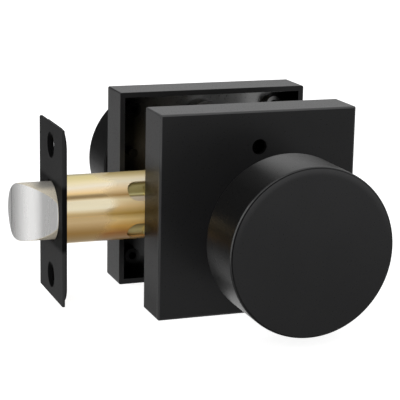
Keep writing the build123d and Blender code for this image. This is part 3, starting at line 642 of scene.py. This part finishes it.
def yellow_zinc(name):
    """Chromate film over bright zinc, on a tube drawn along X, with painted reflections in its colour bands by
    height.
    """
    material, tree, shader, coords = new_finish(name)
    x, _, z = parts(tree, coords)
    level = map_range(tree, z, tube_low.z, tube_high.z, kind="LINEAR")
    drift = stretched_noise(tree, coords, drift_scale, drift_stretch, detail=2.0)
    wander = join(tree, "ADD", value_range(tree, drift, -film_drift, film_drift), level)
    # painted reflections: the film's colours in bands by height, stronger in the thick film
    film, thick = ramp(tree, wander, *film_and_reflection_stops), ramp(tree, wander, *thick_film_light_stops)
    start = ramp(tree, level, *onset_stops)
    onset = map_range(tree, start, 0.0, 1.0, matt_first, matt_first + matt_span, "LINEAR")
    punched = map_range(tree, join(tree, "SUBTRACT", x, onset), 0.0, matt_width)
    tree.links.new(blend(tree, punched, film, thick), shader.inputs["Base Color"])
    marks = stretched_noise(tree, coords, draw_scale, draw_stretch, detail=2.0)
    tree.links.new(value_range(tree, marks, *draw_gloss), shader.inputs["Roughness"])
    tree.links.new(map_range(tree, punched, 0.0, 1.0, 1.0, 0.0, "LINEAR"), shader.inputs["Metallic"])
    bump(tree, shader, marks, draw_relief, draw_height)
    return material


chromate = yellow_zinc("chromate_film")
print("finish", chromate.name)

# %% [markdown]
# The bolt is satin nickel, ground across its bevel, so its highlight is a soft upright stripe. Its round body is left
# as plated, paler and warmer, and its top towards the faceplate is painted darker, a painted shade.

# %% Nickel of the bolt
ground_tones = (0.89, 0.885, 0.875), (0.9, 0.895, 0.885)
pale_tones = (0.84, 0.76, 0.61), (0.86, 0.78, 0.63)
# painted shade on the bolt's top towards the faceplate
top_shade_tones = (0.36, 0.345, 0.31), (0.38, 0.365, 0.33)
top_shade_low, top_shade_high = 0.8, 0.96
top_shade_first, top_shade_full = 0.004, 0.009
grind_scale, grind_stretch, bolt_gloss = 2500.0, (1.0, 1.0, 0.02), (0.27, 0.29)
bevel_metal, body_metal = 0.74, 0.15
bevel_end, body_start = 0.0002, 0.00005


def marked(tree, marks, shade, colour):
    """A tone between the bottom and the top of grinding marks."""
    return ramp(tree, marks, (noise_low, shade), (noise_high, colour))


def bolt_nickel(name):
    """Satin nickel, ground bright across the bevel and left as plated on the round body, with painted shade on top.
    """
    material, tree, shader, coords = new_finish(name)
    low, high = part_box("latch_bolt")
    radius = (high.z - low.z) / 2
    x, _, z = parts(tree, coords)
    marks = stretched_noise(tree, coords, grind_scale, grind_stretch)
    ground, pale, top_shade = (marked(tree, marks, *tones) for tones in (ground_tones, pale_tones, top_shade_tones))
    # painted shade on the bolt's top towards the faceplate
    top = map_range(tree, z, top_shade_low * radius, top_shade_high * radius)
    painted_shading = product(tree, top, map_range(tree, x, low.x + top_shade_first, low.x + top_shade_full))
    plated = blend(tree, painted_shading, pale, top_shade)
    reach = from_axis(tree, coords, (low + high) / 2, (0.0, 1.0, 1.0))
    body = map_range(tree, reach, radius - bevel_end, radius - body_start)
    tree.links.new(blend(tree, body, ground, plated), shader.inputs["Base Color"])
    tree.links.new(map_range(tree, body, 0.0, 1.0, bevel_metal, body_metal, "LINEAR"), shader.inputs["Metallic"])
    tree.links.new(value_range(tree, marks, *bolt_gloss), shader.inputs["Roughness"])
    return material


nickel = bolt_nickel("satin_nickel")
print("finish", nickel.name)

# %% [markdown]
# Plated steel, spring wire and black nylon complete the inside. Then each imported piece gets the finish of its
# material slot, and the rosettes and knobs get their own coats.

# %% Metals and nylon inside
nylon_tones = (0.009, 0.009, 0.010), (0.013, 0.013, 0.014)
nylon_gloss, mottle_scale = (0.5, 0.6), 900.0
mottle_relief, mottle_height = 0.1, 0.00004


def satin_metal(name, colour, shade, gloss, scale, stretch, relief):
    """Metal between two tones, ground along the axis that its stretch makes long."""
    material, tree, shader, coords = new_finish(name)
    marks = stretched_noise(tree, coords, scale, stretch)
    tree.links.new(marked(tree, marks, shade, colour), shader.inputs["Base Color"])
    satin = value_range(tree, marks, gloss - gloss_spread, gloss + gloss_spread)
    tree.links.new(satin, shader.inputs["Roughness"])
    shader.inputs["Metallic"].default_value = 1.0
    bump(tree, shader, marks, relief, grain_height)
    return material


def moulded_nylon(name):
    """Black nylon with the faint mottle of a mould."""
    material, tree, shader, coords = new_finish(name)
    mottle = stretched_noise(tree, coords, mottle_scale)
    tree.links.new(marked(tree, mottle, *nylon_tones), shader.inputs["Base Color"])
    tree.links.new(value_range(tree, mottle, *nylon_gloss), shader.inputs["Roughness"])
    bump(tree, shader, mottle, mottle_relief, mottle_height)
    return material


finishes = {
    "black_coat": black_coat,
    "black_plate": black_plate,
    "yellow_zinc": chromate,
    "satin_bolt": nickel,
    "plated_steel": satin_metal(
        "plated_steel", (0.62, 0.62, 0.61), (0.5, 0.5, 0.5), gloss=0.32, scale=1200.0, stretch=(1.0, 0.1, 1.0),
        relief=0.06
    ),
    "spring_steel": satin_metal(
        "spring_wire", (0.46, 0.46, 0.47), (0.34, 0.34, 0.35), gloss=0.28, scale=2000.0, stretch=(1.0, 1.0, 1.0),
        relief=0.04
    ),
    "nylon": moulded_nylon("black_nylon"),
}
for row in frame["record"]["subparts"]:
    piece = pieces[row["node"]]
    piece.data.materials.clear()
    piece.data.materials.append(piece_finishes.get(row["node"], finishes[row["material_slot"]]))

# %% [markdown]
# The windows in the tube show a second layer of yellow sheet close under the first: the legs of the spring seat, bent
# forward along the bore to the bolt's guide. A leg is a small rectangle in section, spun part of a turn about the
# latch axis. Its rails leave room for the bolt inside and stop short of the tail strap above and below. The seat
# shows between them, so it takes their film.

# %% Legs of the spring seat
# painted light and shade in bands by height, seen through the windows
leg_light_stops = [
    (0.05, (0.25, 0.15, 0.06)), (0.12, (0.5, 0.38, 0.14)), (0.22, (0.8, 0.66, 0.28)), (0.3, (0.45, 0.33, 0.13)),
    (0.66, (0.95, 0.8, 0.6)), (0.715, (0.95, 0.82, 0.62)), (0.735, (0.35, 0.25, 0.08)), (0.752, (0.9, 0.82, 0.4)),
    (0.775, (0.4, 0.33, 0.12)), (0.86, (0.3, 0.25, 0.09)), (0.95, (0.22, 0.17, 0.06)),
]
leg_scale, leg_stretch, leg_gloss = 700.0, (0.1, 1.0, 1.0), (0.3, 0.4)
leg_metal, leg_relief = 0.35, 0.05
leg_inner, leg_outer, leg_reach, leg_steps = 0.0096, 0.0102, radians(61.0), 32
seat_overlap, weld_reach = 0.0015, 0.000001
seat_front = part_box("spring_seat")[1].x - seat_overlap
guide_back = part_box("bolt_guide")[1].x
latch_middle = (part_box("latch_tube")[0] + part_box("latch_tube")[1]) / 2
latch_axis = Vector((0.0, latch_middle.y, latch_middle.z))


def new_piece(name, shape, finish):
    """Makes an object from a closed shape, with its finish."""
    bmesh.ops.remove_doubles(shape, verts=shape.verts, dist=weld_reach)
    bmesh.ops.recalc_face_normals(shape, faces=shape.faces)
    mesh = bpy.data.meshes.new(name)
    shape.to_mesh(mesh)
    shape.free()
    mesh.materials.append(finish)
    piece = bpy.data.objects.new(name, mesh)
    bpy.context.scene.collection.objects.link(piece)
    return piece


def swept(shape, corners, centre, axis, angle, steps, rise=(0.0, 0.0, 0.0)):
    """Spins a closed section about an axis, with a rise at each step, and closes both its ends."""
    section = [shape.verts.new(corner) for corner in corners]
    edges = [shape.edges.new((first, second)) for first, second in zip(section, section[1:] + section[:1])]
    made = bmesh.ops.spin(
        shape, geom=section + edges, cent=centre, axis=axis, dvec=rise, angle=angle, steps=steps,
        use_merge=False, use_duplicate=False
    )
    last = [part for part in made["geom_last"] if isinstance(part, bmesh.types.BMEdge)]
    bmesh.ops.edgenet_fill(shape, edges=edges)
    bmesh.ops.edgenet_fill(shape, edges=last)


def leg_zinc(name):
    """The chromate film inside the tube, thick and matt, with painted shade where the windows shade it and painted
    light at their lips.
    """
    material, tree, shader, coords = new_finish(name)
    level = map_range(tree, parts(tree, coords)[2], tube_low.z, tube_high.z, kind="LINEAR")
    # painted light and shade in bands by height, under the windows
    tree.links.new(ramp(tree, level, *leg_light_stops), shader.inputs["Base Color"])
    marks = stretched_noise(tree, coords, leg_scale, leg_stretch)
    tree.links.new(value_range(tree, marks, *leg_gloss), shader.inputs["Roughness"])
    shader.inputs["Metallic"].default_value = leg_metal
    bump(tree, shader, marks, leg_relief, grain_height)
    return material


legs = bmesh.new()
for side in (-1.0, 1.0):
    outline = (guide_back, leg_inner), (guide_back, leg_outer), (seat_front, leg_outer), (seat_front, leg_inner)
    turn = Matrix.Rotation(-leg_reach, 4, "X")
    corners = [turn @ Vector((x, side * radius, 0.0)) + latch_axis for x, radius in outline]
    swept(legs, corners, latch_axis, (1.0, 0.0, 0.0), 2 * leg_reach, leg_steps)
leg_film = leg_zinc("leg_film")
seat_legs = new_piece("spring_seat_legs", legs, leg_film)
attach(seat_legs, "chassis")
pieces["spring_seat"].data.materials[0] = leg_film
print("seat legs from", round(guide_back, 4), "to", round(seat_front, 4), "faces", len(seat_legs.data.polygons))

# %% [markdown]
# The tube is rolled from sheet, and on the real one the two edges meet: the seam is a groove, not an open slit. A
# narrow bead of the same metal sits in the slit, a little below the surface, as far as it stays in sight.

# %% Seam of the tube
seam_half, seam_sunk, tube_wall = 0.00013, 0.0001, 0.0008
seam_start, seam_end = tube_low.x + 0.0002, -0.0262
seam_depth = tube_wall - seam_sunk

seam = bmesh.new()
bmesh.ops.create_cube(seam, size=1.0)
bmesh.ops.scale(seam, verts=seam.verts, vec=(seam_end - seam_start, seam_depth, 2 * seam_half))
seam_y = tube_low.y + seam_sunk + seam_depth / 2
bmesh.ops.translate(seam, verts=seam.verts, vec=((seam_start + seam_end) / 2, seam_y, latch_middle.z))
seam_bead = new_piece("tube_seam_bead", seam, chromate)
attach(seam_bead, "chassis")
print("seam bead", round(seam_end - seam_start, 4), "m long")

# %% [markdown]
# Between the rosettes the through screws are in plain sight, so their threads are cut here. A thread is a triangle
# that climbs one pitch in each turn, which is a spin with a rise. It is wound round the plain shank of the imported
# screw, from the end of its post to the rosette's boss, and the triangle's foot is sunk in the shank.

# %% Threads of the through screws
shank_radius, crest_radius, foot_sunk = 0.002, 0.00222, 0.0001
pitch, steps_per_turn = 0.0007, 20
head_radius, boss_depth, post_gap = 0.0039, 0.0062, 0.0001
thread_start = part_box("screw_posts")[1].y + post_gap
thread_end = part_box("interior_rosette")[1].y - boss_depth
turns = int((thread_end - thread_start) / pitch) - 1
foot = shank_radius - foot_sunk
thread_outline = (foot, 0.08), (foot, 0.92), (crest_radius, 0.56), (crest_radius, 0.44)

threads = bmesh.new()
for side in (-1.0, 1.0):
    axis_x = side * (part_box("through_screws")[1].x - head_radius)
    corners = [Vector((axis_x + radius, thread_start + share * pitch, 0.0)) for radius, share in thread_outline]
    rise = (0.0, pitch / steps_per_turn, 0.0)
    angle = radians(360.0) * turns
    swept(threads, corners, (axis_x, 0.0, 0.0), (0.0, 1.0, 0.0), angle, steps_per_turn * turns, rise)
screw_threads = new_piece("through_screw_threads", threads, black_coat)
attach(screw_threads, "chassis")
print("threads with", turns, "turns, faces", len(screw_threads.data.polygons))

# %% [markdown]
# The spring behind the bolt is pressed together when the knobs draw the bolt in. A imported solid can't change its
# length, so the coil is wound again here: a round wire section, spun about the latch axis with a rise.

# %% Coil of the bolt spring
spring_low, spring_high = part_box("bolt_spring")
wire_radius, coil_turns, wire_corners, steps_per_coil = 0.0004, 7, 10, 28
coil_radius = (spring_high.z - spring_low.z) / 2 - wire_radius
coil_length = spring_high.x - spring_low.x - 2 * wire_radius
coil_middle = (0.0, (spring_low.y + spring_high.y) / 2, (spring_low.z + spring_high.z) / 2)
coil_steps = coil_turns * steps_per_coil

wire_middle = Vector((spring_high.x - wire_radius, coil_middle[1] + coil_radius, coil_middle[2]))
corners = []
for corner in range(wire_corners):
    turned = Matrix.Rotation(radians(360.0) * corner / wire_corners, 4, "Z") @ Vector((wire_radius, 0.0, 0.0))
    corners.append(turned + wire_middle)
coil = bmesh.new()
rise = (-coil_length / coil_steps, 0.0, 0.0)
swept(coil, corners, coil_middle, (1.0, 0.0, 0.0), radians(360.0) * coil_turns, coil_steps, rise)
spring_coil = new_piece("bolt_spring_coil", coil, finishes["spring_steel"])
for face in spring_coil.data.polygons:
    face.use_smooth = True
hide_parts("bolt_spring")
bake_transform(spring_coil)
print("coil with", coil_turns, "turns, faces", len(spring_coil.data.polygons))
